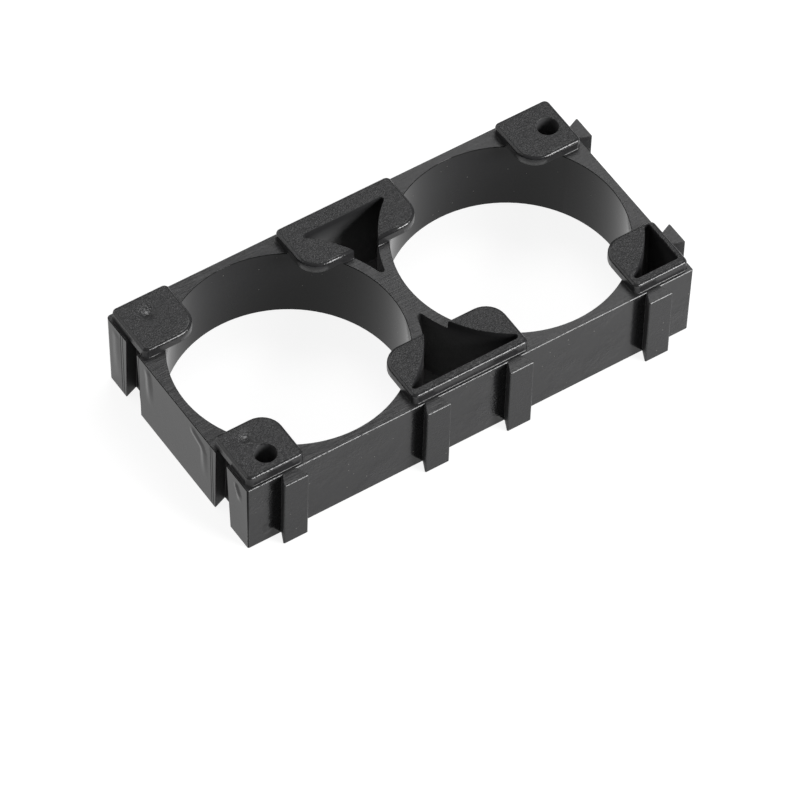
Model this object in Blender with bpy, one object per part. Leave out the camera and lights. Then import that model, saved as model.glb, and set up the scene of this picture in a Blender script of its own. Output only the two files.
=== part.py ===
"""Two-cell battery bracket: one moulded ABS ring block with retaining pads and dovetails.

Lengths are metres and +Z is up. The origin is the middle of the web between the two bores,
on the bottom face. +X runs along the row of cells and +Y to the slotted long wall.
"""

import math

import bmesh
import bpy
from mathutils import Matrix, Vector

# The ring block that holds the cells
CELL_COUNT = 2
WEB_WIDTH = 0.0018
JOINING_PLAY = 0.0001
RING_HEIGHT = 0.00805
WALL_DRAFT = 0.00012
TAB_SIDE_CORNER_RADIUS = 0.00015
SLOT_SIDE_CORNER_RADIUS = 0.0004

# Bores, which take 21 mm cells from below and narrow towards the pads to grip them there
BORE_DIAMETER = 0.0212
BORE_FLARE = 0.00035
BORE_FACETS = 96

# Retaining pads on the top face, which reach over the bores and stop the cells
PAD_THICKNESS = 0.00105
PAD_LEDGE = 0.0003
PAD_REACH = 0.00597
MIDDLE_PAD_HALF_LENGTH = 0.00593
PAD_INNER_RADIUS = 0.0020
PAD_OUTER_RADIUS = 0.0005
PAD_EDGE_RADIUS = 0.00028
PAD_EDGE_STEPS = 3
PAD_ROOT = 0.0005
PAD_UNDERSIDE_RISE = 0.00005

# Dovetail tabs on the front and right walls
TAB_OFFSET = 0.00725
TAB_ROOT_WIDTH = 0.00145
TAB_TIP_WIDTH = 0.00255
TAB_DEPTH = 0.00122
TAB_TIP_RADIUS = 0.0001

# Dovetail slots in the left and back walls, each one taking a neighbour's tab
SLOT_SIDE_CLEARANCE = 0.0001
SLOT_FLOOR_CLEARANCE = 0.0002
SLOT_LEAD_IN = 0.00033

# Triangular pockets, whose long sides follow the bores, closed below by a thin floor
POCKET_FLOOR = 0.0010
POCKET_RING_WALL = 0.00105
POCKET_FRONT_RIM = 0.00112
POCKET_END_RIM = 0.00088
POCKET_BACK_RIM = 0.00207
POCKET_FILLET_RADIUS = 0.00026
POCKET_CORNER_RADIUS = 0.0001

# Pin holes through the corner pads that have one tab wall and one slotted wall
PIN_HOLE_DIAMETER = 0.0020
PIN_HOLE_FROM_TAB_WALL = 0.00205
PIN_HOLE_FROM_SLOT_WALL = 0.00310
PIN_HOLE_FACETS = 32

# Smoothness of the round stretches, and how far every cutter runs past the faces it cuts
SMALL_ARC_STEPS = 4
LARGE_ARC_STEPS = 8
POCKET_SIDE_STEPS = 14
CUT_OVERRUN = 0.0005
MERGE_DISTANCE = 0.000001
FLAT_ANGLE_DEG = 0.05
SMOOTH_ANGLE_DEG = 32.0

# Sizes that follow from the ones above
CELL_PITCH = BORE_DIAMETER + WEB_WIDTH
HALF_LENGTH = (CELL_COUNT * CELL_PITCH - JOINING_PLAY) / 2
HALF_WIDTH = (CELL_PITCH - JOINING_PLAY) / 2
PAD_UNDERSIDE = RING_HEIGHT + PAD_UNDERSIDE_RISE
PAD_TOP = RING_HEIGHT + PAD_THICKNESS
POCKET_SIDE_RADIUS = BORE_DIAMETER / 2 + POCKET_RING_WALL

# Moulded black ABS
BODY_COLOUR = (0.018, 0.018, 0.019, 1.0)
BODY_ROUGHNESS = 0.45
BODY_METALLIC = 0.0


def cell_centres():
    """X of each bore, from the left one to the right one."""
    first = -(CELL_COUNT - 1) * CELL_PITCH / 2
    return [first + index * CELL_PITCH for index in range(CELL_COUNT)]


def web_centres():
    """X of the web between each pair of neighbouring bores."""
    centres = cell_centres()
    return [(left + right) / 2 for left, right in zip(centres, centres[1:])]


def tab_places(centres):
    """Places along a wall of the tabs or slots, two for each cell."""
    return [centre + side * TAB_OFFSET for centre in centres for side in (-1, 1)]


def arc(centre, radius, start, end, steps):
    """Points on an arc from the start angle to the end angle, both of them included."""
    angles = [start + (end - start) * step / steps for step in range(steps + 1)]
    return [Vector((centre[0] + radius * math.cos(a), centre[1] + radius * math.sin(a))) for a in angles]


def heading(start, end):
    """Angle of the direction from one point to another."""
    return math.atan2(end[1] - start[1], end[0] - start[0])


def round_corners(corners, steps):
    """Outline through (point, radius) corners, each one rounded with a tangent arc."""
    outline = []
    for index, (point, radius) in enumerate(corners):
        corner = Vector(point)
        back = (Vector(corners[index - 1][0]) - corner).normalized()
        ahead = (Vector(corners[(index + 1) % len(corners)][0]) - corner).normalized()
        half_angle = back.angle(ahead) / 2
        if radius == 0:
            outline.append(corner)
            continue
        centre = corner + (back + ahead).normalized() * radius / math.sin(half_angle)
        start = heading(centre, corner + back * radius / math.tan(half_angle))
        end = heading(centre, corner + ahead * radius / math.tan(half_angle))
        turn = (end - start + math.pi) % math.tau - math.pi
        outline += arc(centre, radius, start, start + turn, steps)
    return outline


def counter_clockwise(outline):
    """The outline, reversed if it runs clockwise seen from above."""
    following = outline[1:] + outline[:1]
    area = sum(a.x * b.y - b.x * a.y for a, b in zip(outline, following))
    return outline if area > 0 else outline[::-1]


def mesh_object(name, builder, collection):
    """New object whose mesh the builder fills through a bmesh."""
    mesh = bpy.data.meshes.new(name)
    shape = bmesh.new()
    builder(shape)
    bmesh.ops.recalc_face_normals(shape, faces=shape.faces)
    shape.to_mesh(mesh)
    shape.free()
    made = bpy.data.objects.new(name, mesh)
    collection.objects.link(made)
    return made


def loft(shape, bottom, top, low, high):
    """Closed solid between an outline at the low level and its partner at the high level."""
    rings = []
    for outline, level in ((bottom, low), (top, high)):
        corners = [shape.verts.new((point.x, point.y, level)) for point in counter_clockwise(outline)]
        face = shape.faces.new(corners)
        rings.append(list(face.edges))
    bmesh.ops.bridge_loops(shape, edges=rings[0] + rings[1])


def helper(name, builder, collection):
    """Guide solid that shapes the bracket and isn't a piece of it."""
    made = mesh_object(name, builder, collection)
    made.hide_render = True
    made.display_type = "WIRE"
    return made


def helper_collection(name):
    """Collection that one Boolean reads."""
    collection = bpy.data.collections.new(name)
    bpy.context.scene.collection.children.link(collection)
    return collection


def dovetail(place, wall, outward, root_width, tip_width, depth, tip_radius):
    """Corners of a tab on a straight wall, in (along, across) order along the wall."""
    tip = wall + outward * depth
    return [
        ((place - root_width / 2, wall), 0),
        ((place - tip_width / 2, tip), tip_radius),
        ((place + tip_width / 2, tip), tip_radius),
        ((place + root_width / 2, wall), 0),
    ]


def block_outline(inset):
    """Outer outline of the ring block with its tabs, drawn in by the inset."""
    half_length = HALF_LENGTH - inset
    half_width = HALF_WIDTH - inset
    tab = (TAB_ROOT_WIDTH, TAB_TIP_WIDTH, TAB_DEPTH, TAB_TIP_RADIUS)
    corners = [((-half_length, -half_width), TAB_SIDE_CORNER_RADIUS)]
    for place in tab_places(cell_centres()):
        corners += dovetail(place, -half_width, -1, *tab)
    corners.append(((half_length, -half_width), TAB_SIDE_CORNER_RADIUS))
    for place in tab_places([0]):
        on_wall = dovetail(place, half_length, 1, *tab)
        corners += [((across, along), radius) for (along, across), radius in on_wall]
    corners.append(((half_length, half_width), TAB_SIDE_CORNER_RADIUS))
    corners.append(((-half_length, half_width), SLOT_SIDE_CORNER_RADIUS))
    return round_corners(corners, SMALL_ARC_STEPS)


def build_block(shape):
    """Ring block before its bores are cut, a little narrower at the bottom for the mould."""
    loft(shape, block_outline(WALL_DRAFT), block_outline(0), 0, RING_HEIGHT)


def pad_corners(left, right, inner, outer, inner_sides):
    """Pad corners between two X values and two Y values; the inner corners are the wide ones."""
    corners = []
    for x, y in ((left, inner), (right, inner), (right, outer), (left, outer)):
        wide = y == inner and x in inner_sides
        corners.append(((x, y), PAD_INNER_RADIUS if wide else PAD_OUTER_RADIUS))
    return corners


def build_pad(shape, corners):
    """Pad plate with a root inside the ring block, before its top edge is rounded."""
    outline = counter_clockwise(round_corners(corners, LARGE_ARC_STEPS))
    face = shape.faces.new([shape.verts.new((p.x, p.y, RING_HEIGHT - PAD_ROOT)) for p in outline])
    extruded = bmesh.ops.extrude_face_region(shape, geom=[face])["geom"]
    raised = [item for item in extruded if isinstance(item, bmesh.types.BMVert)]
    bmesh.ops.translate(shape, verts=raised, vec=(0, 0, PAD_THICKNESS + PAD_ROOT))


def add_pad(name, corners, collection):
    """Retaining pad with its top edge rounded by a weighted bevel."""
    pad = helper(name, lambda shape: build_pad(shape, corners), collection)
    weights = pad.data.attributes.new("bevel_weight_edge", "FLOAT", "EDGE")
    middle = RING_HEIGHT + PAD_THICKNESS / 2
    for edge in pad.data.edges:
        ends = [pad.data.vertices[index].co.z for index in edge.vertices]
        weights.data[edge.index].value = 1.0 if min(ends) > middle else 0.0
    bevel = pad.modifiers.new("top_edge", "BEVEL")
    bevel.limit_method = "WEIGHT"
    bevel.width = PAD_EDGE_RADIUS
    bevel.segments = PAD_EDGE_STEPS
    bevel.use_clamp_overlap = False
    return pad


def add_pads(collection):
    """Four corner pads and two pads over each web."""
    end = HALF_LENGTH - PAD_LEDGE
    end_inner = HALF_LENGTH - PAD_REACH
    outer = HALF_WIDTH - PAD_LEDGE
    inner = HALF_WIDTH - PAD_REACH
    for side_name, side in (("front", -1), ("back", 1)):
        for end_name, way in (("left", -1), ("right", 1)):
            span = sorted((way * end_inner, way * end))
            corners = pad_corners(*span, side * inner, side * outer, (way * end_inner,))
            add_pad(f"{side_name}_{end_name}_pad", corners, collection)
        for number, web in enumerate(web_centres(), 1):
            span = (web - MIDDLE_PAD_HALF_LENGTH, web + MIDDLE_PAD_HALF_LENGTH)
            corners = pad_corners(*span, side * inner, side * outer, span)
            add_pad(f"{side_name}_middle_pad_{number}", corners, collection)


def flare_at(level, flare):
    """Share of a flare, all of it at the bottom face and none at the top face, left at a level."""
    return flare * (RING_HEIGHT - level) / RING_HEIGHT


def add_bores(collection):
    """Tapered cutters for the cells, which stop at the undersides of the pads."""
    low_radius = BORE_DIAMETER / 2 + flare_at(-CUT_OVERRUN, BORE_FLARE)
    high_radius = BORE_DIAMETER / 2 + flare_at(PAD_UNDERSIDE, BORE_FLARE)
    middle = (PAD_UNDERSIDE - CUT_OVERRUN) / 2

    def build(shape, centre):
        bmesh.ops.create_cone(
            shape,
            cap_ends=True,
            segments=BORE_FACETS,
            radius1=low_radius,
            radius2=high_radius,
            depth=PAD_UNDERSIDE + CUT_OVERRUN,
            matrix=Matrix.Translation((centre, 0, middle)),
        )

    for number, centre in enumerate(cell_centres(), 1):
        helper(f"bore_{number}", lambda shape, x=centre: build(shape, x), collection)


def slot_outline(place, wall, outward, lead):
    """Trapezoid of a slot in a straight wall, run out past the wall, as (along, across)."""
    mouth = TAB_ROOT_WIDTH / 2 + SLOT_SIDE_CLEARANCE
    floor = TAB_TIP_WIDTH / 2 + SLOT_SIDE_CLEARANCE
    depth = TAB_DEPTH + SLOT_FLOOR_CLEARANCE
    mouth_past_wall = mouth - (floor - mouth) / depth * CUT_OVERRUN + lead
    inside = wall - outward * depth
    outside = wall + outward * CUT_OVERRUN
    return [
        Vector((place - mouth_past_wall, outside)),
        Vector((place - floor - lead, inside)),
        Vector((place + floor + lead, inside)),
        Vector((place + mouth_past_wall, outside)),
    ]


def add_slots(collection):
    """Dovetail cutters in the left and back walls, open below and roofed by the pads."""

    def build(shape, place, wall, outward, swapped):
        levels = (-CUT_OVERRUN, PAD_UNDERSIDE)
        outlines = []
        for level in levels:
            outline = slot_outline(place, wall, outward, flare_at(level, SLOT_LEAD_IN))
            outlines.append([point.yx if swapped else point for point in outline])
        loft(shape, *outlines, *levels)

    walls = [("left", place, -HALF_LENGTH, -1, True) for place in tab_places([0])]
    walls += [("back", place, HALF_WIDTH, 1, False) for place in tab_places(cell_centres())]
    for number, (wall_name, *values) in enumerate(walls, 1):
        name = f"{wall_name}_slot_{number}"
        helper(name, lambda shape, args=tuple(values): build(shape, *args), collection)


def web_pocket_outline(web, side, rim):
    """Pocket under a middle pad: a straight side by the wall and two sides round the bores."""
    fillet = POCKET_FILLET_RADIUS
    reach = POCKET_SIDE_RADIUS + fillet
    half_pitch = CELL_PITCH / 2
    level = HALF_WIDTH - rim - fillet
    corner = Vector((half_pitch - math.sqrt(reach**2 - level**2), level))
    apex = Vector((0, math.sqrt(reach**2 - half_pitch**2)))
    bore = Vector((half_pitch, 0))
    half = arc(apex, fillet, -math.pi / 2, heading(apex, bore), SMALL_ARC_STEPS)
    half += arc(bore, POCKET_SIDE_RADIUS, heading(bore, apex), heading(bore, corner), POCKET_SIDE_STEPS)
    half += arc(corner, fillet, heading(corner, bore), math.pi / 2, SMALL_ARC_STEPS)
    half = without_repeats(half)
    mirrored = [Vector((-point.x, point.y)) for point in half[:0:-1]]
    return [Vector((web + point.x, side * point.y)) for point in half + mirrored]


def corner_pocket_outline(centre):
    """Pocket under the front right pad: two straight sides and one side round the bore."""
    fillet = POCKET_FILLET_RADIUS
    reach = POCKET_SIDE_RADIUS + fillet
    front = HALF_WIDTH - POCKET_FRONT_RIM
    end = HALF_LENGTH - cell_centres()[-1] - POCKET_END_RIM
    bore = Vector((0, 0))
    low = Vector((math.sqrt(reach**2 - (front - fillet) ** 2), fillet - front))
    high = Vector((end - fillet, -math.sqrt(reach**2 - (end - fillet) ** 2)))
    outer = Vector((end - POCKET_CORNER_RADIUS, POCKET_CORNER_RADIUS - front))
    outline = arc(low, fillet, heading(low, bore), math.pi * 3 / 2, SMALL_ARC_STEPS)
    outline += arc(outer, POCKET_CORNER_RADIUS, -math.pi / 2, 0, SMALL_ARC_STEPS)
    outline += arc(high, fillet, 0, heading(high, bore), SMALL_ARC_STEPS)
    outline += arc(bore, POCKET_SIDE_RADIUS, heading(bore, high), heading(bore, low), POCKET_SIDE_STEPS)
    return [Vector((centre + point.x, point.y)) for point in without_repeats(outline)]


def without_repeats(outline):
    """The outline without points that fall on the one before."""
    kept = []
    for point in outline:
        if not kept or (point - kept[-1]).length > MERGE_DISTANCE:
            kept.append(point)
    if (kept[0] - kept[-1]).length <= MERGE_DISTANCE:
        kept.pop()
    return kept


def add_cuts_from_above(outlines, low, collection):
    """Straight cutters from above the pads down to the low level, one for each outline."""
    high = PAD_TOP + CUT_OVERRUN
    for name, outline in outlines.items():
        helper(name, lambda shape, line=outline: loft(shape, line, line, low, high), collection)


def add_pockets(collection):
    """Pockets through the pads into the block, down to their floors."""
    outlines = {"corner_pocket": corner_pocket_outline(cell_centres()[-1])}
    for number, web in enumerate(web_centres(), 1):
        outlines[f"front_pocket_{number}"] = web_pocket_outline(web, -1, POCKET_FRONT_RIM)
        outlines[f"back_pocket_{number}"] = web_pocket_outline(web, 1, POCKET_BACK_RIM)
    add_cuts_from_above(outlines, POCKET_FLOOR, collection)


def add_pin_holes(collection):
    """Pin holes, which run from the pad tops to the bottom face."""
    centres = {
        "front_left_hole": (
            -HALF_LENGTH + PIN_HOLE_FROM_SLOT_WALL,
            -HALF_WIDTH + PIN_HOLE_FROM_TAB_WALL,
        ),
        "back_right_hole": (
            HALF_LENGTH - PIN_HOLE_FROM_TAB_WALL,
            HALF_WIDTH - PIN_HOLE_FROM_SLOT_WALL,
        ),
    }
    outlines = {}
    for name, centre in centres.items():
        outlines[name] = arc(centre, PIN_HOLE_DIAMETER / 2, 0, math.tau, PIN_HOLE_FACETS)[:-1]
    add_cuts_from_above(outlines, -CUT_OVERRUN, collection)


def add_boolean(target, name, operation, collection):
    """Boolean of the target with every solid in a collection."""
    boolean = target.modifiers.new(name, "BOOLEAN")
    boolean.operation = operation
    boolean.operand_type = "COLLECTION"
    boolean.collection = collection
    boolean.solver = "EXACT"


def moulded_abs():
    """Black ABS as it comes from the mould."""
    material = bpy.data.materials.new("black_abs")
    material.use_nodes = True
    shader = material.node_tree.nodes["Principled BSDF"]
    shader.inputs["Base Color"].default_value = BODY_COLOUR
    shader.inputs["Roughness"].default_value = BODY_ROUGHNESS
    shader.inputs["Metallic"].default_value = BODY_METALLIC
    return material


def settle(target, helpers):
    """Keep the shape that the modifiers give, merge flat faces and remove the helpers."""
    graph = bpy.context.evaluated_depsgraph_get()
    result = bpy.data.meshes.new_from_object(target.evaluated_get(graph))
    target.modifiers.clear()
    shape = bmesh.new()
    shape.from_mesh(result)
    bmesh.ops.remove_doubles(shape, verts=shape.verts, dist=MERGE_DISTANCE)
    bmesh.ops.dissolve_limit(
        shape,
        angle_limit=math.radians(FLAT_ANGLE_DEG),
        verts=shape.verts,
        edges=shape.edges,
    )
    shape.to_mesh(result)
    shape.free()
    result.name = target.name
    target.data = result
    for collection in helpers:
        for made in list(collection.objects):
            bpy.data.objects.remove(made, do_unlink=True)
        bpy.data.collections.remove(collection)


def build_bracket():
    """The bracket: the block with its pads, less the bores, slots, pockets and holes."""
    bracket = mesh_object("cell_bracket", build_block, bpy.context.scene.collection)
    pads = helper_collection("retaining_pads")
    undercuts = helper_collection("bores_and_slots")
    cuts = helper_collection("pockets_and_holes")
    add_pads(pads)
    add_bores(undercuts)
    add_slots(undercuts)
    add_pockets(cuts)
    add_pin_holes(cuts)
    add_boolean(bracket, "pads", "UNION", pads)
    add_boolean(bracket, "undercuts", "DIFFERENCE", undercuts)
    add_boolean(bracket, "pockets_and_holes", "DIFFERENCE", cuts)
    settle(bracket, (pads, undercuts, cuts))
    bracket.data.materials.clear()
    bracket.data.materials.append(moulded_abs())
    bracket.data.shade_smooth()
    bracket.data.set_sharp_from_angle(angle=math.radians(SMOOTH_ANGLE_DEG))


def main():
    """Clear the scene and model the bracket."""
    for existing in list(bpy.data.objects):
        bpy.data.objects.remove(existing, do_unlink=True)
    build_bracket()


main()
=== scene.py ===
import logging
import math
from dataclasses import dataclass
from enum import Enum
from typing import Callable

import bpy
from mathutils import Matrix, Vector
from mathutils.geometry import intersect_point_line


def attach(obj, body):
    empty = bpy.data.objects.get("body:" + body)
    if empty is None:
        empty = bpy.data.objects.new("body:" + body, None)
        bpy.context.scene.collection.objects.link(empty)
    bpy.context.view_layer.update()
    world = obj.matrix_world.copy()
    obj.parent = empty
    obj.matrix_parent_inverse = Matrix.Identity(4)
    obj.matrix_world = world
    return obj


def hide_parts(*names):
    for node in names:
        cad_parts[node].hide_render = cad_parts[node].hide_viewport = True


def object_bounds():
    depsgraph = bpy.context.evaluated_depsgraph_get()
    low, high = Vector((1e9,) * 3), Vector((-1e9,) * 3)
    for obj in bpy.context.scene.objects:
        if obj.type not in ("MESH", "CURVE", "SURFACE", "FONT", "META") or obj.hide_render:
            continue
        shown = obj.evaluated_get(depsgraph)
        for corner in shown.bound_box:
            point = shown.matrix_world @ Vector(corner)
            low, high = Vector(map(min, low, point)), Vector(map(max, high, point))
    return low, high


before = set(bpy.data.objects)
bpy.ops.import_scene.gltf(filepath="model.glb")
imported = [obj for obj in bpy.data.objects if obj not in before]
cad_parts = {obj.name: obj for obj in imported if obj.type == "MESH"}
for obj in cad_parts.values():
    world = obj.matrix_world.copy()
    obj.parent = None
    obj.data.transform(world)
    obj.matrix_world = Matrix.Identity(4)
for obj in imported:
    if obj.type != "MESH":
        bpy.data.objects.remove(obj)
CAD_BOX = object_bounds()
PAD_TOP = CAD_BOX[1][2]

LOG = logging.getLogger("bracket_scene")
MM = 0.001
CAD_NODE = "cell_bracket"
PIECE = "bracket_body"
BODY = "root"
WHITE = (1.0, 1.0, 1.0, 1.0)
FaceTest = Callable[[bpy.types.MeshPolygon], bool]


class Region(Enum):
    """The surfaces of the moulding that carry a finish of their own, some with painted shade or painted
    fill light in their colour.
    """

    PAD_TOP = "blasted_pad_top"
    PAD_EDGE = "glossy_pad_edge"
    RING_TOP = "lined_ring_top"
    WALL = "satin_outer_wall"
    END_WALL = "glossy_end_wall"
    BORE = "smooth_bore"
    PAD_SIDE = "dull_pad_side"
    # The slots and holes carry painted fill light: their colour is lifted above the plastic's black.
    RECESS = "dull_slot_and_hole_with_painted_fill"
    # The pocket's colour carries painted fill light in its shaded depths.
    POCKET = "dark_pocket"
    # The edge lines are painted shade: a darker colour along edge strips and slot lines.
    EDGE_LINE = "painted_shade_edge_line"
    RIM = "bright_front_rim"
    TAB = "satin_tab"


class Face(Enum):
    """The flat faces that take sink marks, by their outward side."""

    PAD = (0.0, 0.0, 1.0)
    LEFT_WALL = (-1.0, 0.0, 0.0)
    FRONT_WALL = (0.0, -1.0, 0.0)


def deselect_all() -> None:
    """Leave edit mode and deselect every object."""
    if bpy.context.object and bpy.context.object.mode != "OBJECT":
        bpy.ops.object.mode_set(mode="OBJECT")
    bpy.ops.object.select_all(action="DESELECT")


def make_active(piece: bpy.types.Object) -> None:
    """Select one object alone and make it the active one.

    Args:
        piece: The object to work on.
    """
    deselect_all()
    piece.select_set(True)
    bpy.context.view_layer.objects.active = piece


def select_faces(piece: bpy.types.Object, wanted: FaceTest) -> int:
    """Select the faces of a mesh by their place and normal, in object mode.

    Args:
        piece: The mesh object, in object mode.
        wanted: A test on a face.

    Returns:
        How many faces were selected.
    """
    mesh = piece.data
    for vertex in mesh.vertices:
        vertex.select = False
    for edge in mesh.edges:
        edge.select = False
    count = 0
    for face in mesh.polygons:
        face.select = wanted(face)
        count += face.select
    return count


def eased(share: float) -> float:
    """Smooth a share from 0 to 1 at both of its ends."""
    return share**2 * (3.0 - 2.0 * share)


class ShaderBench:
    """A small helper that places and joins shader nodes from left to right.

    The sockets of a colour mix share their names, so it goes by their places.
    """

    STEP = 190.0
    COLOUR_MIX_INPUTS = (0, 6, 7)
    COLOUR_MIX_OUTPUT = 2

    def __init__(self, tree: bpy.types.NodeTree) -> None:
        """Start on an empty node tree.

        Args:
            tree: The tree of a material, a group or the world.
        """
        self.tree = tree
        self.column = 0

    @classmethod
    def cleared(cls, owner: bpy.types.Material | bpy.types.World) -> "ShaderBench":
        """Start on the emptied node tree of a material or the world.

        Args:
            owner: The material or the world.

        Returns:
            The helper on its tree.
        """
        owner.use_nodes = True
        owner.node_tree.nodes.clear()
        return cls(owner.node_tree)

    def add(self, kind: str, **values: object) -> bpy.types.Node:
        """Add one node and set its properties and input sockets.

        Args:
            kind: The node's Blender type.
            values: Properties of the node, or its inputs by name with
                spaces written as underscores.

        Returns:
            The new node.
        """
        node = self.tree.nodes.new(kind)
        node.location = (self.column * self.STEP, 0.0)
        self.column += 1
        for name, value in values.items():
            if hasattr(node, name):
                setattr(node, name, value)
            else:
                self.feed(value, node.inputs[name.replace("_", " ")])
        return node

    def feed(self, value: object, socket: bpy.types.NodeSocket) -> None:
        """Join an output socket to an input, or set the input's value.

        Args:
            value: An output socket or a plain value.
            socket: The input socket.
        """
        if isinstance(value, bpy.types.NodeSocket):
            self.tree.links.new(value, socket)
        else:
            socket.default_value = value

    def finish(self, kind: str, shader: bpy.types.Node) -> None:
        """Join a shader to a new output node.

        Args:
            kind: The output node's Blender type.
            shader: The shader's node.
        """
        self.feed(shader.outputs[0], self.add(kind).inputs["Surface"])

    def maths(self, operation: str, *terms: object) -> bpy.types.NodeSocket:
        """Add a Math node.

        Args:
            operation: The node's operation.
            terms: Its one to three terms, sockets or numbers.

        Returns:
            The output socket.
        """
        node = self.add("ShaderNodeMath", operation=operation)
        for term, socket in zip(terms, node.inputs):
            self.feed(term, socket)
        return node.outputs[0]

    def axis(self, vector: bpy.types.NodeSocket, name: str) -> bpy.types.NodeSocket:
        """Read one of the coordinates X, Y and Z.

        Args:
            vector: The coordinates' socket.
            name: The coordinate's letter.

        Returns:
            The coordinate's socket.
        """
        node = self.add("ShaderNodeSeparateXYZ")
        self.feed(vector, node.inputs[0])
        return node.outputs[name]

    def ramp(
        self,
        value: bpy.types.NodeSocket,
        source: tuple = (0.0, 1.0),
        target: tuple = (0.0, 1.0),
        kind: str = "LINEAR",
    ) -> bpy.types.NodeSocket:
        """Carry a value from one range to another, and keep it in there.

        Args:
            value: The value's socket.
            source: The two ends that the value runs between.
            target: What the result is at those ends.
            kind: How it runs from one end to the other.

        Returns:
            The result's socket.
        """
        node = self.add("ShaderNodeMapRange", interpolation_type=kind)
        names = ("Value", "From Min", "From Max", "To Min", "To Max")
        for name, given in zip(names, (value, *source, *target)):
            self.feed(given, node.inputs[name])
        return node.outputs["Result"]

    def noise(self, vector: object, scale: object, detail: float = 2.0) -> bpy.types.NodeSocket:
        """Add a noise pattern.

        Args:
            vector: The coordinates' socket.
            scale: How many grains fit in a metre.
            detail: The number of finer layers.

        Returns:
            The pattern's socket, from 0 to 1.
        """
        node = self.add("ShaderNodeTexNoise", Detail=detail)
        self.feed(vector, node.inputs["Vector"])
        self.feed(scale, node.inputs["Scale"])
        return node.outputs["Fac"]

    def layered(
        self, lower: bpy.types.NodeSocket, upper: bpy.types.NodeSocket, share: float
    ) -> bpy.types.NodeSocket:
        """Add two patterns up by their shares.

        Args:
            lower: The first pattern's socket.
            upper: The second pattern's socket.
            share: The second pattern's share of the sum.

        Returns:
            The sum's socket.
        """
        rest = self.maths("MULTIPLY", lower, 1.0 - share)
        return self.maths("ADD", rest, self.maths("MULTIPLY", upper, share))

    def blend(self, share: object, first: object, second: object) -> bpy.types.NodeSocket:
        """Mix two colours.

        Args:
            share: How much of the second colour shows, from 0 to 1.
            first: The first colour, plain or a socket.
            second: The second colour, plain or a socket.

        Returns:
            The mixed colour's socket.
        """
        node = self.add("ShaderNodeMix", data_type="RGBA")
        for place, value in zip(self.COLOUR_MIX_INPUTS, (share, first, second)):
            self.feed(value, node.inputs[place])
        return node.outputs[self.COLOUR_MIX_OUTPUT]


class SharedEffect:
    """A shader node group that several finishes use, built once."""

    name = "shared_effect"
    inputs: tuple = ()
    outputs: tuple = ()

    @classmethod
    def tree(cls) -> bpy.types.NodeTree:
        """Find the group, or build it on the first call.

        Returns:
            The node group.
        """
        found = bpy.data.node_groups.get(cls.name)
        if found:
            return found
        group = bpy.data.node_groups.new(cls.name, "ShaderNodeTree")
        for label, kind, value in cls.inputs:
            socket = group.interface.new_socket(label, in_out="INPUT", socket_type=kind)
            if value is not None:
                socket.default_value = value
        for label in cls.outputs:
            group.interface.new_socket(label, in_out="OUTPUT", socket_type="NodeSocketFloat")
        bench = ShaderBench(group)
        entry = bench.add("NodeGroupInput")
        results = cls.wire(bench, entry.outputs)
        leave = bench.add("NodeGroupOutput")
        for label, result in results.items():
            bench.feed(result, leave.inputs[label])
        return group

    @classmethod
    def wire(cls, bench: ShaderBench, given: bpy.types.NodeOutputs) -> dict:
        """Join the nodes inside the group.

        Args:
            bench: The helper on the group's tree.
            given: What the group is given, by name.

        Returns:
            The output sockets by name.
        """
        raise NotImplementedError

    @classmethod
    def place(cls, bench: ShaderBench, **values: object) -> bpy.types.NodeOutputs:
        """Put the group into a material.

        Args:
            bench: The helper on the material's tree.
            values: The group's inputs by name.

        Returns:
            The group node's outputs, by name.
        """
        node = bench.add("ShaderNodeGroup")
        node.node_tree = cls.tree()
        for name, value in values.items():
            bench.feed(value, node.inputs[name.replace("_", " ")])
        return node.outputs


class BlastedGrain(SharedEffect):
    """The fine pitted grain that a blasted mould leaves."""

    COARSENESS = 0.42
    COARSE_SHARE = 0.4
    DETAIL = 1.0

    name = "blasted_grain"
    inputs = (
        ("Vector", "NodeSocketVector", None),
        ("Grains per metre", "NodeSocketFloat", 9000.0),
    )
    outputs = ("Height", "Tone")

    @classmethod
    def wire(cls, bench: ShaderBench, given: bpy.types.NodeOutputs) -> dict:
        """Lay coarse grains over fine ones.

        Args:
            bench: The helper on the group's tree.
            given: The coordinates and the density.

        Returns:
            The height and the tone, both from 0 to 1.
        """
        density = given["Grains per metre"]
        fine = bench.noise(given["Vector"], density, cls.DETAIL)
        wider = bench.maths("MULTIPLY", density, cls.COARSENESS)
        coarse = bench.noise(given["Vector"], wider, cls.DETAIL)
        return {"Height": bench.layered(fine, coarse, cls.COARSE_SHARE), "Tone": coarse}


class SatinMottle(SharedEffect):
    """The slow, faint unevenness of a moulded satin wall."""

    RIPPLES_PER_PATCH = 5.5
    RIPPLE_SHARE = 0.25

    name = "satin_mottle"
    inputs = (
        ("Vector", "NodeSocketVector", None),
        ("Patches per metre", "NodeSocketFloat", 500.0),
    )
    outputs = ("Height", "Sheen")

    @classmethod
    def wire(cls, bench: ShaderBench, given: bpy.types.NodeOutputs) -> dict:
        """Lay broad patches under small ripples.

        Args:
            bench: The helper on the group's tree.
            given: The coordinates and the density.

        Returns:
            The height and the sheen, both from 0 to 1.
        """
        density = given["Patches per metre"]
        broad = bench.noise(given["Vector"], density)
        finer = bench.maths("MULTIPLY", density, cls.RIPPLES_PER_PATCH)
        ripple = bench.noise(given["Vector"], finer)
        return {"Height": bench.layered(broad, ripple, cls.RIPPLE_SHARE), "Sheen": ripple}


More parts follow.
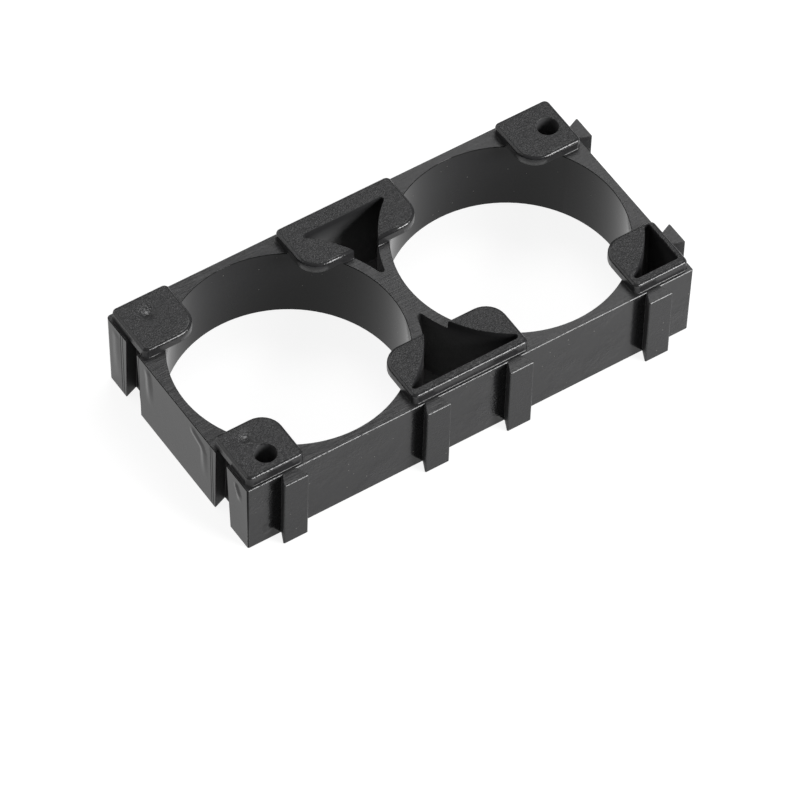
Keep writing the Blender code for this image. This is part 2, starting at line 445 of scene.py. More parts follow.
class ToolLines(SharedEffect):
    """The fine parallel lines that a milled mould leaves."""

    CONTRAST = (0.3, 0.7)

    name = "tool_lines"
    inputs = (
        ("Vector", "NodeSocketVector", None),
        ("Lines per metre", "NodeSocketFloat", 9000.0),
    )
    outputs = ("Height",)

    @classmethod
    def wire(cls, bench: ShaderBench, given: bpy.types.NodeOutputs) -> dict:
        """Read a noise on stretched coordinates, sharpened into lines.

        Args:
            bench: The helper on the group's tree.
            given: The stretched coordinates and the density.

        Returns:
            The height, from 0 to 1.
        """
        lines = bench.noise(given["Vector"], given["Lines per metre"])
        return {"Height": bench.ramp(lines, cls.CONTRAST)}


class SmoothSpot(SharedEffect):
    """A round spot where the grain is pressed flat."""

    name = "smooth_spot"
    inputs = (
        ("Vector", "NodeSocketVector", None),
        ("Centre", "NodeSocketVector", None),
        ("Radius", "NodeSocketFloat", 1.0 * MM),
    )
    outputs = ("Mask",)

    @classmethod
    def wire(cls, bench: ShaderBench, given: bpy.types.NodeOutputs) -> dict:
        """Fade from the centre out to the radius.

        Args:
            bench: The helper on the group's tree.
            given: The coordinates, the centre and the radius.

        Returns:
            The mask, 1 at the centre and 0 from the radius on.
        """
        apart = bench.add("ShaderNodeVectorMath", operation="DISTANCE")
        bench.feed(given["Vector"], apart.inputs[0])
        bench.feed(given["Centre"], apart.inputs[1])
        reach = (0.0, given["Radius"])
        return {"Mask": bench.ramp(apart.outputs["Value"], reach, (1.0, 0.0), "SMOOTHSTEP")}


class DustSpecks(SharedEffect):
    """Sparse small specks of pale dust."""

    BARE_SHARE = 0.72

    name = "dust_specks"
    inputs = (
        ("Vector", "NodeSocketVector", None),
        ("Specks per metre", "NodeSocketFloat", 1500.0),
        ("Size", "NodeSocketFloat", 0.075),
    )
    outputs = ("Mask",)

    @classmethod
    def wire(cls, bench: ShaderBench, given: bpy.types.NodeOutputs) -> dict:
        """Keep the cores of a few cells of a cellular pattern.

        Args:
            bench: The helper on the group's tree.
            given: The coordinates, the density and a speck's share of its cell.

        Returns:
            The mask, 1 on a speck and 0 elsewhere.
        """
        cells = bench.add("ShaderNodeTexVoronoi")
        bench.feed(given["Vector"], cells.inputs["Vector"])
        bench.feed(given["Specks per metre"], cells.inputs["Scale"])
        core = bench.maths("LESS_THAN", cells.outputs["Distance"], given["Size"])
        chance = bench.add("ShaderNodeSeparateColor")
        bench.feed(cells.outputs["Color"], chance.inputs["Color"])
        few = bench.maths("GREATER_THAN", chance.outputs["Red"], cls.BARE_SHARE)
        return {"Mask": bench.maths("MULTIPLY", core, few)}


@dataclass(frozen=True)
class AbsFinish:
    """One finish of the black plastic, with its marks and their depths.

    Densities are counts per metre, and depths and places are in metres. A
    spot is a centre and a radius. The painted fill colour, where there is one,
    is painted light in a pocket's shaded depths: it sets in between the fill
    heights, so that the colour grows lighter towards the bottom.
    """

    region: Region
    roughness: float
    roughness_change: float = 0.06
    ior: float = 1.53
    grain_depth: float = 0.0
    grain_density: float = 9000.0
    grain_patches: bool = False
    patch_scale: float = 0.5
    patch_detail: float = 3.0
    patch_edge: tuple = (0.46, 0.62)
    mottle_depth: float = 0.0
    mottle_density: float = 500.0
    line_depth: float = 0.0
    line_density: float = 9000.0
    line_stretch: tuple = (0.03, 1.0, 1.0)
    line_fade_along: tuple = (-6.0 * MM, 8.0 * MM)
    line_fade: tuple = (1.0, 0.35)
    dust: float = 0.0
    spots: tuple = ()
    spot_gloss: float = 0.20
    spot_flatness: float = 0.85
    colour: tuple = (0.018, 0.018, 0.019, 1.0)
    worn_colour: tuple = (0.027, 0.027, 0.028, 1.0)
    dust_colour: tuple = (0.30, 0.29, 0.27, 1.0)
    painted_fill_colour: tuple | None = None
    painted_fill_heights: tuple = (8.5 * MM, 2.0 * MM)

    def material(self) -> bpy.types.Material:
        """Build the finish as a material with its own nodes.

        Returns:
            The material.
        """
        material = bpy.data.materials.new(self.region.value)
        bench = ShaderBench.cleared(material)
        place = bench.add("ShaderNodeTexCoord").outputs["Object"]
        mottle = SatinMottle.place(bench, Vector=place, Patches_per_metre=self.mottle_density)
        grain = BlastedGrain.place(bench, Vector=place, Grains_per_metre=self.grain_density)
        smooth = self.smooth_mask(bench, place)
        shader = bench.add("ShaderNodeBsdfPrincipled", IOR=self.ior)
        bench.feed(self.paint(bench, place, grain["Tone"]), shader.inputs["Base Color"])
        bench.feed(self.sheen(bench, mottle["Sheen"], smooth), shader.inputs["Roughness"])
        reliefs = [(mottle["Height"], self.mottle_depth)]
        if self.line_depth:
            reliefs.append((self.lines(bench, place), self.line_depth))
        reliefs.append((self.pits(bench, place, grain["Height"], smooth), self.grain_depth))
        self.emboss(bench, shader, reliefs)
        bench.finish("ShaderNodeOutputMaterial", shader)
        return material

    def smooth_mask(
        self, bench: ShaderBench, place: bpy.types.NodeSocket
    ) -> bpy.types.NodeSocket | None:
        """Join the masks of the finish's smooth spots.

        Args:
            bench: The helper on the material's tree.
            place: The object's coordinates.

        Returns:
            The mask's socket, or None for a finish without spots.
        """
        mask = None
        for centre, radius in self.spots:
            spot = SmoothSpot.place(bench, Vector=place, Centre=centre, Radius=radius)["Mask"]
            mask = bench.maths("MAXIMUM", spot, mask) if mask else spot
        return mask

    def paint(
        self, bench: ShaderBench, place: bpy.types.NodeSocket, tone: bpy.types.NodeSocket
    ) -> bpy.types.NodeSocket:
        """Mix the plastic's colour with its wear, its dust and its painted fill light.

        Args:
            bench: The helper on the material's tree.
            place: The object's coordinates.
            tone: The pattern that parts the worn colour from the other.

        Returns:
            The colour's socket.
        """
        colour = bench.blend(tone, self.colour, self.worn_colour)
        # Painted fill light: the colour lightens towards a pocket's floor, in place of light in its shaded
        # depths.
        if self.painted_fill_colour:
            depth = bench.ramp(bench.axis(place, "Z"), self.painted_fill_heights)
            colour = bench.blend(depth, colour, self.painted_fill_colour)
        if self.dust:
            specks = DustSpecks.place(bench, Vector=place)["Mask"]
            colour = bench.blend(bench.maths("MULTIPLY", specks, self.dust), colour, self.dust_colour)
        return colour

    def sheen(
        self,
        bench: ShaderBench,
        ripple: bpy.types.NodeSocket,
        smooth: bpy.types.NodeSocket | None,
    ) -> bpy.types.NodeSocket:
        """Vary the roughness, and lower it on the smooth spots.

        Args:
            bench: The helper on the material's tree.
            ripple: The pattern that the roughness follows.
            smooth: The mask of the smooth spots, if there are any.

        Returns:
            The roughness' socket.
        """
        ends = (self.roughness - self.roughness_change, self.roughness + self.roughness_change)
        roughness = bench.ramp(ripple, target=ends)
        if smooth:
            roughness = bench.maths("MULTIPLY_ADD", smooth, -self.spot_gloss, roughness)
        return roughness

    def lines(self, bench: ShaderBench, place: bpy.types.NodeSocket) -> bpy.types.NodeSocket:
        """Draw tool lines along the row, fainter towards the right.

        Args:
            bench: The helper on the material's tree.
            place: The object's coordinates.

        Returns:
            The lines' height.
        """
        drawn = bench.add("ShaderNodeVectorMath", operation="MULTIPLY")
        bench.feed(place, drawn.inputs[0])
        bench.feed(self.line_stretch, drawn.inputs[1])
        stretched = drawn.outputs["Vector"]
        height = ToolLines.place(bench, Vector=stretched, Lines_per_metre=self.line_density)["Height"]
        fade = bench.ramp(bench.axis(place, "X"), self.line_fade_along, self.line_fade)
        return bench.maths("MULTIPLY", height, fade)

    def pits(
        self,
        bench: ShaderBench,
        place: bpy.types.NodeSocket,
        height: bpy.types.NodeSocket,
        smooth: bpy.types.NodeSocket | None,
    ) -> bpy.types.NodeSocket:
        """Leave the grain in patches, and press it flat on the smooth spots.

        Args:
            bench: The helper on the material's tree.
            place: The object's coordinates.
            height: The even grain's height.
            smooth: The mask of the smooth spots, if there are any.

        Returns:
            The grain's height.
        """
        if self.grain_patches:
            broad = bench.noise(place, self.mottle_density * self.patch_scale, self.patch_detail)
            height = bench.maths("MULTIPLY", height, bench.ramp(broad, self.patch_edge))
        if smooth:
            kept = bench.maths("MULTIPLY_ADD", smooth, -self.spot_flatness, 1.0)
            height = bench.maths("MULTIPLY", height, kept)
        return height

    @staticmethod
    def emboss(bench: ShaderBench, shader: bpy.types.Node, reliefs: list) -> None:
        """Press the reliefs into a shader's normal, one over another.

        Args:
            bench: The helper on the material's tree.
            shader: The shader's node.
            reliefs: The heights' sockets with their depths.
        """
        normal = None
        for height, depth in reliefs:
            if depth:
                bump = bench.add("ShaderNodeBump", Strength=1.0, Distance=depth)
                bench.feed(height, bump.inputs["Height"])
                if normal:
                    bench.feed(normal, bump.inputs["Normal"])
                normal = bump.outputs["Normal"]
        if normal:
            bench.feed(normal, shader.inputs["Normal"])


PAD_DIMPLES = (
    ((-20.1 * MM, 9.2 * MM, PAD_TOP), 1.4 * MM),
    ((-20.3 * MM, -7.0 * MM, PAD_TOP), 1.2 * MM),
)

FINISHES = (
    AbsFinish(
        Region.PAD_TOP,
        roughness=0.42,
        grain_depth=0.22 * MM,
        grain_density=6500.0,
        mottle_depth=0.01 * MM,
        spots=PAD_DIMPLES,
    ),
    AbsFinish(
        Region.PAD_EDGE,
        roughness=0.20,
        grain_depth=0.03 * MM,
        grain_density=6500.0,
        mottle_depth=0.01 * MM,
    ),
    AbsFinish(Region.PAD_SIDE, roughness=0.30, ior=1.42, grain_depth=0.03 * MM, grain_density=6500.0),
    AbsFinish(
        Region.RING_TOP,
        roughness=0.40,
        ior=1.45,
        line_depth=0.02 * MM,
        line_density=12000.0,
        grain_depth=0.01 * MM,
    ),
    AbsFinish(
        Region.WALL,
        roughness=0.16,
        ior=1.39,
        mottle_depth=0.01 * MM,
        grain_depth=0.04 * MM,
        grain_density=6000.0,
        grain_patches=True,
        dust=0.6,
    ),
    AbsFinish(Region.END_WALL, roughness=0.13, ior=1.455, mottle_depth=0.008 * MM, dust=0.4),
    AbsFinish(
        Region.BORE,
        roughness=0.11,
        ior=1.28,
        mottle_depth=0.006 * MM,
        dust=0.5,
        colour=(0.012, 0.012, 0.013, 1.0),
        worn_colour=(0.017, 0.017, 0.018, 1.0),
    ),
    # Painted fill light: the colours of the slots and holes are lifted about three times above the
    # plastic's black, in place of light in their shade.
    AbsFinish(
        Region.RECESS,
        roughness=0.55,
        ior=1.40,
        mottle_depth=0.006 * MM,
        colour=(0.058, 0.058, 0.059, 1.0),
        worn_colour=(0.075, 0.075, 0.077, 1.0),
    ),
    # Painted fill light: the pocket's colour is lifted a little above the plastic's black, and much more
    # towards its floor, in place of light in its shade.
    AbsFinish(
        Region.POCKET,
        roughness=0.60,
        ior=1.25,
        mottle_depth=0.006 * MM,
        colour=(0.022, 0.022, 0.023, 1.0),
        worn_colour=(0.028, 0.028, 0.029, 1.0),
        painted_fill_colour=(0.30, 0.30, 0.30, 1.0),
    ),
    AbsFinish(
        Region.TAB,
        roughness=0.16,
        ior=1.35,
        mottle_depth=0.01 * MM,
        grain_depth=0.02 * MM,
        dust=0.6,
    ),
    AbsFinish(
        Region.RIM,
        roughness=0.24,
        roughness_change=0.12,
        ior=1.50,
        mottle_density=900.0,
        grain_depth=0.05 * MM,
        grain_density=2600.0,
    ),
    # Painted shade: edge strips and slot lines are coloured darker than the plastic, in place of their
    # shade and dark reflections.
    AbsFinish(
        Region.EDGE_LINE,
        roughness=0.50,
        ior=1.20,
        mottle_depth=0.006 * MM,
        colour=(0.006, 0.006, 0.006, 1.0),
        worn_colour=(0.010, 0.010, 0.010, 1.0),
    ),
)


@dataclass(frozen=True)
class SinkMark:
    """A soft ridge or hollow that the plastic took as it cooled.

    The mark follows a run of points on a flat face, in millimetres: along
    the face and up on a wall, and along X and Y on a pad. Its other sizes
    are in metres. A positive rise stands out of the face, and a negative
    one goes into it. Cells is the number of cuts in a radius, and stride is
    the least distance between the cuts across the longest side.
    """

    name: str
    face: Face
    run: tuple
    radius: float
    rise: float
    cells: int = 4
    stride: float = 0.0
    fades: bool = False
    fade_share: float = 0.7
    finish: Region | None = None

    def reach(self, spine: list[Vector]) -> tuple[Vector, Vector]:
        """Give the box that the mark can change.

        Args:
            spine: The mark's run, as places on the piece.

        Returns:
            The box's lowest and highest corners.
        """
        margin = Vector((self.radius,) * 3)
        low = Vector([min(values) for values in zip(*spine)])
        high = Vector([max(values) for values in zip(*spine)])
        return low - margin, high + margin

    def strength(self, spine: list[Vector], place: Vector) -> float:
        """Tell how much of the mark's rise a place takes.

        Args:
            spine: The mark's run, as places on the piece.
            place: The place.

        Returns:
            The share of the rise, 1 on the spine and 0 from the radius on.
        """
        stretches = list(zip(spine, spine[1:]))
        total = sum((end - start).length for start, end in stretches)
        nearest, along, passed = math.inf, 0.0, 0.0
        for start, end in stretches:
            length = (end - start).length
            share = min(1.0, max(0.0, intersect_point_line(place, start, end)[1]))
            away = (place - start.lerp(end, share)).length
            if away < nearest:
                nearest, along = away, (passed + share * length) / total
            passed += length
        across = max(0.0, 1.0 - nearest / self.radius)
        kept = min(1.0, (1.0 - along) / self.fade_share) if self.fades else 1.0
        return eased(across) * eased(kept)


SOFT_MARKS = (
    SinkMark(
        "back_left_dimple",
        Face.PAD,
        ((-20.2, 9.2), (-20.0, 9.2)),
        radius=1.1 * MM,
        rise=-0.20 * MM,
        cells=6,
    ),
    SinkMark(
        "front_left_dimple",
        Face.PAD,
        ((-20.4, -7.0), (-20.2, -7.0)),
        radius=0.9 * MM,
        rise=-0.12 * MM,
        cells=6,
    ),
    SinkMark(
        "far_streak",
        Face.LEFT_WALL,
        ((4.55, 7.2), (4.45, 6.0), (4.50, 3.0)),
        radius=0.65 * MM,
        rise=0.10 * MM,
        fades=True,
    ),
    SinkMark(
        "near_streak",
        Face.LEFT_WALL,
        ((-2.8, 7.1), (-4.1, 6.6), (-4.4, 6.0), (-4.4, 2.2)),
        radius=0.60 * MM,
        rise=0.09 * MM,
        fades=True,
    ),
    SinkMark(
        "corner_curl",
        Face.LEFT_WALL,
        ((-9.70, 7.0), (-10.05, 6.2), (-10.05, 5.2)),
        radius=0.45 * MM,
        rise=0.13 * MM,
        fades=True,
    ),
    SinkMark(
        "back_band", Face.LEFT_WALL, ((9.8, 7.0), (9.8, 1.0)), radius=0.70 * MM, rise=0.05 * MM, fades=True
    ),
    SinkMark("front_blob", Face.FRONT_WALL, ((-20.9, 1.3), (-20.9, 1.9)), radius=0.55 * MM, rise=0.05 * MM),
)

# The slot lines are shallow grooves that take the painted shade colour of the edge lines.
SLOT_LINES = tuple(
    SinkMark(
        "slot_line",
        Face.LEFT_WALL,
        ((across, 0.1), (across, 7.9)),
        radius=0.05 * MM,
        rise=-0.01 * MM,
        cells=1,
        stride=2.6 * MM,
        finish=Region.EDGE_LINE,
    )
    for across in (-5.78, -5.50, 6.10, 8.75, 9.05)
)


@dataclass
class BracketBody:
    """The moulded bracket, a finished copy of the CAD solid.

    The outer sizes come from the solid's box, where no tabs stand out: at
    the left, the back and the top. A share is a normal's part along an axis.
    """

    pitch: float = 23.0 * MM
    bore_radius_top: float = 10.6 * MM
    bore_radius_bottom: float = 10.95 * MM
    half_length: float = -CAD_BOX[0][0]
    half_width: float = CAD_BOX[1][1]
    pad_top: float = PAD_TOP
    pad_thickness: float = 1.05 * MM
    pad_fillet: float = 0.30 * MM
    draft: float = 0.0149
    hole_from_tab_wall: float = 2.05 * MM
    hole_cut_reach: float = 6.95 * MM
    level_slack: float = 0.03 * MM
    wall_slack: float = 0.20 * MM
    edge_reach: float = 0.15 * MM
    strip_reach: float = 0.10 * MM
    slot_reach: float = 1.60 * MM
    hole_reach: float = 4.50 * MM
    flat_share: float = 0.98
    fillet_share: float = 0.05
    oblique_share: float = 0.30
    facing_share: float = 0.5
    plain_share: float = 0.9999995
    edge_radius: float = 0.05 * MM
    edge_segments: int = 1
    area_weight: int = 80
    merge_distance: float = 0.0001 * MM
    cut_threshold: float = 0.001 * MM
    flat_angle: float = math.radians(0.1)
    sharp_angle: float = math.radians(40.0)
    smooth_angle: float = math.radians(50.0)
    marks: tuple = SOFT_MARKS + SLOT_LINES

    @property
    def ring_top(self) -> float:
        """Give the height of the block's top face."""
        return self.pad_top - self.pad_thickness

    def build(self) -> bpy.types.Object:
        """Copy the CAD solid, merge it, dress it and round its edges.

        Returns:
            The finished piece.
        """
        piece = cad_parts[CAD_NODE].copy()
        piece.data = piece.data.copy()
        piece.name = PIECE
        piece.data.name = PIECE
        bpy.context.scene.collection.objects.link(piece)
        make_active(piece)
        self.clean(piece)
        self.dress(piece)
        for mark in self.marks:
            self.press(piece, mark)
            LOG.info("%s: %s, %d faces in all", PIECE, mark.name, len(piece.data.polygons))
        self.round_edges(piece)
        self.line_edges(piece)
        self.keep_flat(piece)
        return piece

    def clean(self, piece: bpy.types.Object) -> None:
        """Merge the loose triangles and dissolve the flat faces' inner edges.

        The flat faces are first cut through the bores, the pockets and the
        pin holes, so that no face runs round a hole.

        Args:
            piece: The copy of the CAD solid.
        """
        bpy.ops.object.mode_set(mode="EDIT")
        bpy.ops.mesh.select_all(action="SELECT")
        bpy.ops.mesh.remove_doubles(threshold=self.merge_distance)
        right_hole_x = self.half_length - self.hole_from_tab_wall
        for along in (-0.5 * self.pitch, 0.0, 0.5 * self.pitch, right_hole_x):
            self.split(piece, Vector((along, 0, 0)), Vector((1, 0, 0)), lambda face: True)
        left_hole_y = self.hole_from_tab_wall - self.half_width
        limit = self.hole_cut_reach - self.half_length
        self.split(
            piece, Vector((0, left_hole_y, 0)), Vector((0, 1, 0)), lambda face: face.center.x < limit
        )
        bpy.ops.object.mode_set(mode="EDIT")
        bpy.ops.mesh.select_all(action="SELECT")
        bpy.ops.mesh.dissolve_limited(angle_limit=self.flat_angle, delimit={"SEAM"})
        bpy.ops.object.mode_set(mode="OBJECT")

    def cut(self, piece: bpy.types.Object, point: Vector, normal: Vector, wanted: FaceTest) -> None:
        """Cut the chosen faces along a plane, which stays selected.

        Args:
            piece: The mesh object.
            point: A point on the plane.
            normal: The plane's normal.
            wanted: A test on a face.
        """
        bpy.ops.object.mode_set(mode="OBJECT")
        found = select_faces(piece, wanted)
        bpy.ops.object.mode_set(mode="EDIT")
        bpy.ops.mesh.select_mode(type="FACE")
        if found:
            bpy.ops.mesh.bisect(plane_co=point, plane_no=normal, threshold=self.cut_threshold)

    def split(self, piece: bpy.types.Object, point: Vector, normal: Vector, wanted: FaceTest) -> None:
        """Cut the chosen faces along a plane and mark the cut as a seam.

        Args:
            piece: The mesh object.
            point: A point on the plane.
            normal: The plane's normal.
            wanted: A test on a face.
        """
        self.cut(piece, point, normal, wanted)
        bpy.ops.mesh.select_mode(type="EDGE")
        bpy.ops.mesh.mark_seam()

    def dress(self, piece: bpy.types.Object) -> None:
        """Give each region of the mesh its finish.

        Args:
            piece: The merged copy.
        """
        piece.data.materials.clear()
        order = {}
        for finish in FINISHES:
            order[finish.region] = len(piece.data.materials)
            piece.data.materials.append(finish.material())
        for face in piece.data.polygons:
            face.material_index = order[self.region_of(face.center, face.normal)]

    def region_of(self, centre: Vector, normal: Vector) -> Region:
        """Tell which finish a face carries.

        Args:
            centre: The face's centre.
            normal: The face's normal.

        Returns:
            The region of the moulding.
        """
        level_face = normal.z > self.flat_share
        if level_face and centre.z > self.pad_top - self.level_slack:
            return Region.PAD_TOP
        fillet_foot = self.pad_top - self.pad_fillet - self.level_slack
        if normal.z > self.fillet_share and centre.z > fillet_foot:
            return Region.PAD_EDGE
        if level_face and abs(centre.z - self.ring_top) < self.level_slack:
            return Region.RING_TOP
        if centre.z > self.ring_top + self.level_slack:
            return Region.PAD_SIDE
        if self.in_bore(centre, normal):
            return Region.BORE
        inside_x = self.half_length - abs(centre.x)
        inside_y = self.half_width - abs(centre.y)
        inside = min(inside_x, inside_y)
        faces_down = normal.z <= -self.flat_share
        if inside > self.wall_slack and centre.z < self.ring_top and not faces_down:
            in_left_slot = centre.x < 0 and inside_x < self.slot_reach
            in_back_slot = centre.y > 0 and inside_y < self.slot_reach
            in_pin_hole = centre.x * centre.y > 0 and inside_x < self.hole_reach
            return Region.RECESS if in_left_slot or in_back_slot or in_pin_hole else Region.POCKET
        if abs(normal.x) > abs(normal.y) and inside_x < self.wall_slack:
            return Region.END_WALL
        return Region.TAB if inside < -self.wall_slack else Region.WALL

    def from_bore_axis(self, centre: Vector) -> Vector:
        """Give the level way to a place from the bore's axis on its side."""
        return Vector((centre.x - math.copysign(0.5 * self.pitch, centre.x), centre.y))

    def in_bore(self, centre: Vector, normal: Vector) -> bool:
        """Tell whether a face below the pads belongs to a bore's wall.

        Args:
            centre: The face's centre.
            normal: The face's normal.

        Returns:
            True where the face stands near a bore's axis and faces it.
        """
        away = self.from_bore_axis(centre)
        near = away.length < self.bore_radius_bottom + self.level_slack
        facing = -(normal.x * away.x + normal.y * away.y) > self.facing_share * away.length
        return near and facing and centre.z > self.level_slack

    def outward(self, face: Face) -> Vector:
        """Give the outward normal of a marked face, drafted on a wall."""
        lean = 0.0 if face is Face.PAD else -self.draft
        return (Vector(face.value) + Vector((0.0, 0.0, lean))).normalized()

    def on_face(self, face: Face, first: float, second: float) -> Vector:
        """Give a point of a marked face.

        Args:
            face: The face.
            first: The place along X, or along Y on the left wall.
            second: The height, or the place along Y on a pad.

        Returns:
            The point.
        """
        lean = (self.ring_top - second) * self.draft
        if face is Face.PAD:
            return Vector((first, second, self.pad_top))
        if face is Face.LEFT_WALL:
            return Vector((lean - self.half_length, first, second))
        return Vector((first, lean - self.half_width, second))

    def press(self, piece: bpy.types.Object, mark: SinkMark) -> None:
        """Cut a local grid into a flat face and raise or sink it.

        Args:
            piece: The merged copy.
            mark: The mark to press.
        """
        outward = self.outward(mark.face)
        spine = [self.on_face(mark.face, first * MM, second * MM) for first, second in mark.run]
        low, high = mark.reach(spine)

        def off_plane(place: Vector) -> float:
            """Tell how far a place lies from the marked face's plane."""
            return abs((place - spine[0]).dot(outward))

        def touched(face: bpy.types.MeshPolygon) -> bool:
            """Tell whether a face lies in the mark's plane and box."""
            if face.normal.dot(outward) < self.flat_share or off_plane(face.center) > self.edge_radius:
                return False
            corners = [piece.data.vertices[index].co for index in face.vertices]
            sides = zip(low, high, zip(*corners))
            return all(max(values) >= least and min(values) <= most for least, most, values in sides)

        spans = [most - least for least, most in zip(low, high)]
        for axis, span in enumerate(spans):
            if abs(outward[axis]) > self.facing_share:
                continue
            pace = mark.radius / mark.cells
            if span == max(spans):
                pace = max(pace, mark.stride)
            for line in range(math.ceil(span / pace) + 1):
                point, across = low.copy(), Vector((0, 0, 0))
                point[axis] += line * pace
                across[axis] = 1.0
                self.cut(piece, point, across, touched)
        bpy.ops.object.mode_set(mode="OBJECT")
        group = piece.vertex_groups.new(name=mark.name)
        for vertex in piece.data.vertices:
            near = off_plane(vertex.co) < self.edge_radius
            strength = mark.strength(spine, vertex.co) if near else 0.0
            if strength > 0.0:
                group.add([vertex.index], strength, "REPLACE")
        if mark.finish:
            slot = piece.data.materials.find(mark.finish.value)
            for face in piece.data.polygons:
                if touched(face) and mark.strength(spine, face.center) > 0.0:
                    face.material_index = slot
        self.displace(piece, mark)

    def displace(self, piece: bpy.types.Object, mark: SinkMark) -> None:
        """Move a mark's vertices by its rise, as its vertex group weighs them.

        Args:
            piece: The copy with the mark's grid and vertex group.
            mark: The mark.
        """
        shift = piece.modifiers.new(mark.name, "DISPLACE")
        shift.vertex_group = mark.name
        shift.mid_level = 0.0
        shift.strength = mark.rise
        bpy.ops.object.modifier_apply(modifier=shift.name)
        piece.vertex_groups.remove(piece.vertex_groups[mark.name])

    def round_edges(self, piece: bpy.types.Object) -> None:
        """Break the sharp edges as a mould does, and smooth the shading.

        Args:
            piece: The dressed copy.
        """
        make_active(piece)
        bevel = piece.modifiers.new("broken_edges", "BEVEL")
        bevel.width = self.edge_radius
        bevel.segments = self.edge_segments
        bevel.limit_method = "ANGLE"
        bevel.angle_limit = self.sharp_angle
        bevel.use_clamp_overlap = False
        bpy.ops.object.modifier_apply(modifier=bevel.name)
        bpy.ops.object.shade_smooth_by_angle(angle=self.smooth_angle)

    def edge_region(self, centre: Vector, normal: Vector) -> Region | None:
        """Tell which narrow edge strips have a look of their own, such as painted shade lines and the dull
        finish with painted fill light.

        Args:
            centre: The strip face's centre.
            normal: The strip face's normal.

        Returns:
            The strip's region, or None for any other face.
        """
        near_end = self.half_length - abs(centre.x) < self.edge_reach
        near_side = self.half_width - abs(centre.y) < self.edge_reach
        if near_end and near_side and min(abs(normal.x), abs(normal.y)) > self.oblique_share:
            return Region.EDGE_LINE
        near_front = centre.y < -self.half_width + self.edge_reach
        # The left edge strips of the tab tips take the dull finish, whose colour carries painted fill
        # light.
        if near_front and abs(normal.z) < self.oblique_share and normal.x < -self.oblique_share:
            return Region.RECESS
        by_ring_top = abs(centre.z - self.ring_top) <= self.strip_reach
        if not by_ring_top or not self.oblique_share < normal.z < self.flat_share:
            return None
        if near_end and centre.x < 0 and normal.x < -self.oblique_share:
            return Region.EDGE_LINE
        if normal.y < -self.oblique_share and abs(normal.x) < self.fillet_share:
            return Region.RIM if near_front else None
        off_bore = abs(self.from_bore_axis(centre).length - self.bore_radius_top)
        return Region.EDGE_LINE if off_bore < self.strip_reach else None

    def line_edges(self, piece: bpy.types.Object) -> None:
        """Give the edge strips their finishes, painted shade lines among them, and keep the glinting ones
        flat.

        Args:
            piece: The copy with rounded edges.
        """
        beyond_wall = -self.half_width - self.edge_reach
        for face in piece.data.polygons:
            region = self.edge_region(face.center, face.normal)
            if region:
                face.material_index = piece.data.materials.find(region.value)
            turned = face.normal.x > self.facing_share and face.normal.y < -self.facing_share
            if region is Region.RIM or turned and face.center.y < beyond_wall:
                face.use_smooth = False

    def is_plain(self, normal: Vector) -> bool:
        """Tell whether a face lies flat in a main plane of the moulding.

        Args:
            normal: The face's normal.

        Returns:
            True for the level planes, the upright ones and the drafted walls.
        """
        for axis in range(3):
            for lean in (0.0, -self.draft):
                plane = Vector((0.0, 0.0, lean))
                plane[axis] = math.copysign(1.0, normal[axis])
                if normal.dot(plane.normalized()) > self.plain_share:
                    return True
        return False

    def keep_flat(self, piece: bpy.types.Object) -> None:
        """Shade the plain faces flat and weigh the others by their area.

        Args:
            piece: The copy with rounded edges.
        """
        tab = piece.data.materials.find(Region.TAB.value)
        for face in piece.data.polygons:
            if face.material_index == tab or self.is_plain(face.normal):
                face.use_smooth = False
        weights = piece.modifiers.new("flat_faces_stay_flat", "WEIGHTED_NORMAL")
        weights.mode = "FACE_AREA"
        weights.weight = self.area_weight
        weights.keep_sharp = True
        bpy.ops.object.modifier_apply(modifier=weights.name)


@dataclass(frozen=True)
class Softbox:
    """A soft lamp that faces the object from a given side and height.

    Angles are in degrees, the azimuth from the front towards the right, and
    sizes are in metres.
    """

    name: str
    azimuth: float
    elevation: float
    distance: float
    width: float
    height: float
    light: float

    def build(self) -> None:
        """Hang the lamp so that it gives its light at the object."""
        side, rise = math.radians(self.azimuth), math.radians(self.elevation)
        level = math.cos(rise)
        way = Vector((math.sin(side) * level, -math.cos(side) * level, math.sin(rise)))
        lamp = bpy.data.lights.new(self.name, "AREA")
        lamp.shape = "RECTANGLE"
        lamp.size = self.width
        lamp.size_y = self.height
        lamp.energy = self.light * math.pi * self.distance**2
        holder = bpy.data.objects.new(self.name, lamp)
        bpy.context.scene.collection.objects.link(holder)
        holder.location = way * self.distance
        holder.rotation_euler = way.to_track_quat("Z", "Y").to_euler()


SOFTBOXES = (
    Softbox("key_softbox", azimuth=33.0, elevation=24.0, distance=0.9, width=0.48, height=0.40, light=3.6),
    Softbox("rear_softbox", azimuth=215.0, elevation=30.0, distance=1.1, width=1.5, height=1.0, light=1.1),
    Softbox("top_softbox", azimuth=132.0, elevation=60.0, distance=0.9, width=0.45, height=0.45, light=1.2),
)


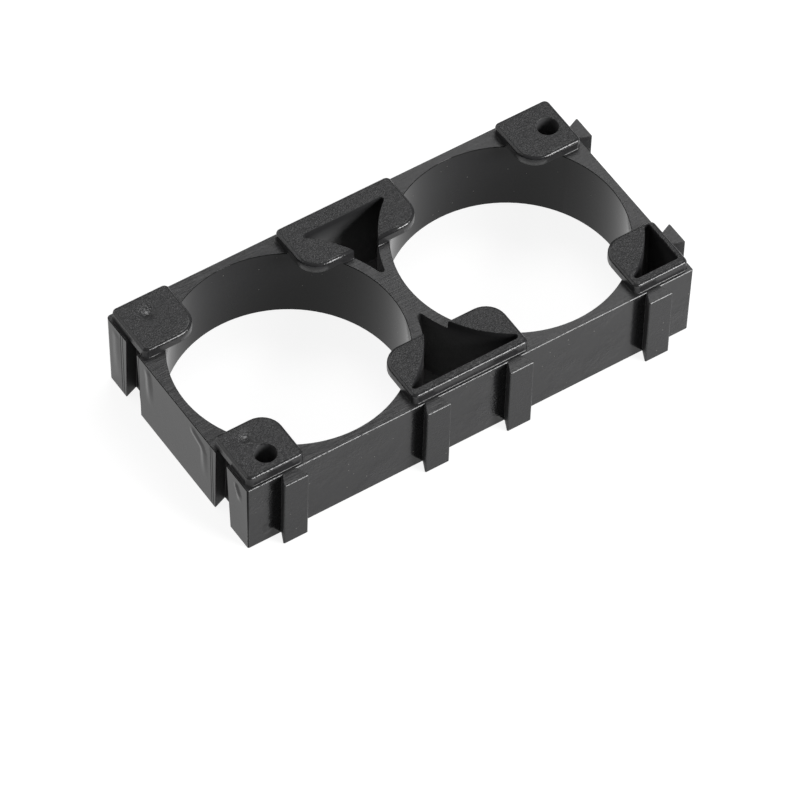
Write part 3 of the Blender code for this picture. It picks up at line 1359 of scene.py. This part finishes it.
@dataclass
class Studio:
    """The floor, the lamps, the surroundings and the camera.

    The camera's turn is in degrees about X, Y and Z, and its lens and
    sensor are in millimetres. The floor's glow as a mirror sees it changes
    along X by the slope, within the slope's reach.
    """

    floor_half: float = 3.0
    floor_gap: float = 0.02 * MM
    lens: float = 313.877
    sensor: float = 36.0
    clip_start: float = 0.01
    clip_end: float = 10.0
    camera_place: tuple = (-0.21669, -0.32055, 0.47285)
    camera_turn: tuple = (38.88863, -0.79725, -33.09257)
    world_level: float = 0.16
    paper_colour: tuple = (0.25, 0.25, 0.25, 1.0)
    paper_glow: float = 0.88
    mirrored_glow: float = 0.72
    glow_slope: float = 0.09
    slope_reach: float = 22.0 * MM
    softboxes: tuple = SOFTBOXES

    def build(self) -> None:
        """Make the whole studio."""
        self.build_floor()
        self.build_world()
        for box in self.softboxes:
            box.build()
            LOG.info("studio: %s", box.name)
        self.build_camera()

    def build_floor(self) -> None:
        """Lay a pale floor that keeps the object's soft shadow."""
        deselect_all()
        bpy.ops.mesh.primitive_plane_add(size=2 * self.floor_half, location=(0, 0, -self.floor_gap))
        floor = bpy.context.object
        floor.name = "studio_floor"
        bpy.ops.object.transform_apply(location=True, rotation=True, scale=True)
        floor.data.materials.append(self.paper())
        LOG.info("studio: %s", floor.name)

    def paper(self) -> bpy.types.Material:
        """Make a dull paper that the camera and mirrors see as near white.

        Returns:
            The material.
        """
        material = bpy.data.materials.new("pale_paper")
        bench = ShaderBench.cleared(material)
        rays = bench.add("ShaderNodeLightPath").outputs
        mirrored = bench.maths("MAXIMUM", rays["Is Glossy Ray"], rays["Is Transmission Ray"])
        direct = bench.maths("MULTIPLY", rays["Is Camera Ray"], self.paper_glow)
        along = bench.axis(bench.add("ShaderNodeTexCoord").outputs["Object"], "X")
        ends = (self.mirrored_glow - self.glow_slope, self.mirrored_glow + self.glow_slope)
        slope = bench.ramp(along, (-self.slope_reach, self.slope_reach), ends)
        seen = bench.maths("MULTIPLY_ADD", mirrored, slope, direct)
        paper = bench.add("ShaderNodeBsdfDiffuse", Color=self.paper_colour)
        glow = bench.add("ShaderNodeEmission", Color=WHITE, Strength=seen)
        both = bench.add("ShaderNodeAddShader")
        bench.feed(paper.outputs[0], both.inputs[0])
        bench.feed(glow.outputs[0], both.inputs[1])
        bench.finish("ShaderNodeOutputMaterial", both)
        return material

    def build_world(self) -> None:
        """Surround the object with dim, even light."""
        world = bpy.data.worlds.new("dim_surroundings")
        bpy.context.scene.world = world
        bench = ShaderBench.cleared(world)
        light = bench.add("ShaderNodeBackground", Color=WHITE, Strength=self.world_level)
        bench.finish("ShaderNodeOutputWorld", light)

    def build_camera(self) -> None:
        """Stand the camera where the photograph was taken from."""
        lens = bpy.data.cameras.new("camera")
        lens.lens = self.lens
        lens.sensor_width = self.sensor
        lens.clip_start = self.clip_start
        lens.clip_end = self.clip_end
        holder = bpy.data.objects.new("camera", lens)
        bpy.context.scene.collection.objects.link(holder)
        holder.location = self.camera_place
        holder.rotation_euler = [math.radians(angle) for angle in self.camera_turn]
        bpy.context.scene.camera = holder


def main() -> None:
    """Build the bracket and its studio, in order."""
    logging.basicConfig(level=logging.INFO, format="%(name)s: %(message)s")
    body = BracketBody().build()
    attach(body, BODY)
    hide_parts(CAD_NODE)
    LOG.info("%s: %d faces", body.name, len(body.data.polygons))
    Studio().build()
    bpy.context.scene.view_settings.view_transform = "Standard"


if __name__ == "__main__":
    main()
